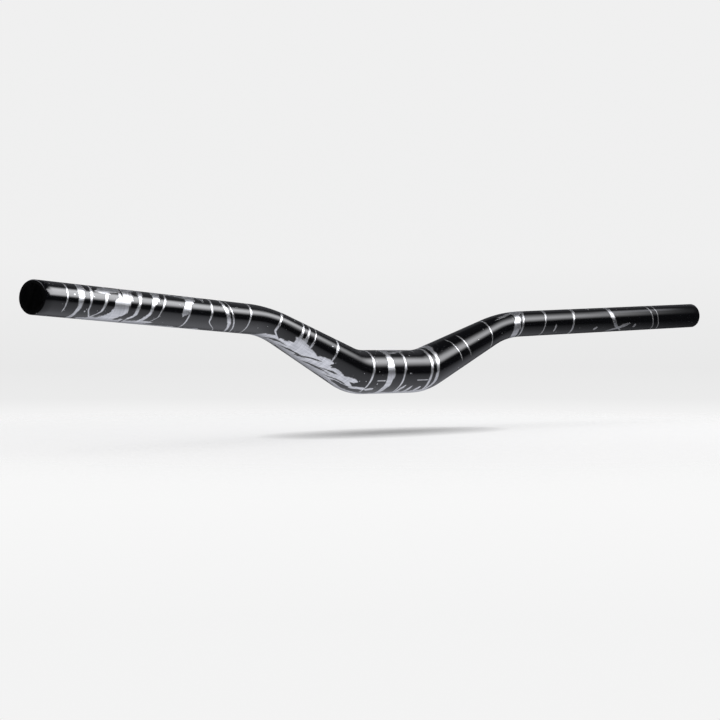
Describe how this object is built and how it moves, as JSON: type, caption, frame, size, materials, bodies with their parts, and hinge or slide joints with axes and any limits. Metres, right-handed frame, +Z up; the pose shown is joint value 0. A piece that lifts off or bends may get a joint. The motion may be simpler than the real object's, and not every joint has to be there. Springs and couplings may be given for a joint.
{
  "type": "bicycle handlebar",
  "caption": "Flat-trail riser handlebar: one butted, swept aluminium tube with a fat clamp stretch, two bends a side and open ends.",
  "frame": {"origin": "middle of the clamp stretch, on the tube's axis", "axes": "+X along the clamp to the rider's right, +Y forward, away from the rider, +Z up; the bar stands as it would be clamped in a stem"},
  "size_m": [0.8036, 0.0762, 0.0791],
  "materials": {
    "splashed_black": "gloss black over aluminium, with an abstract pattern of bright silver rings and brush strokes"
  },
  "bodies": {
    "root": {"handlebar": "splashed_black"}
  },
  "joints": []
}
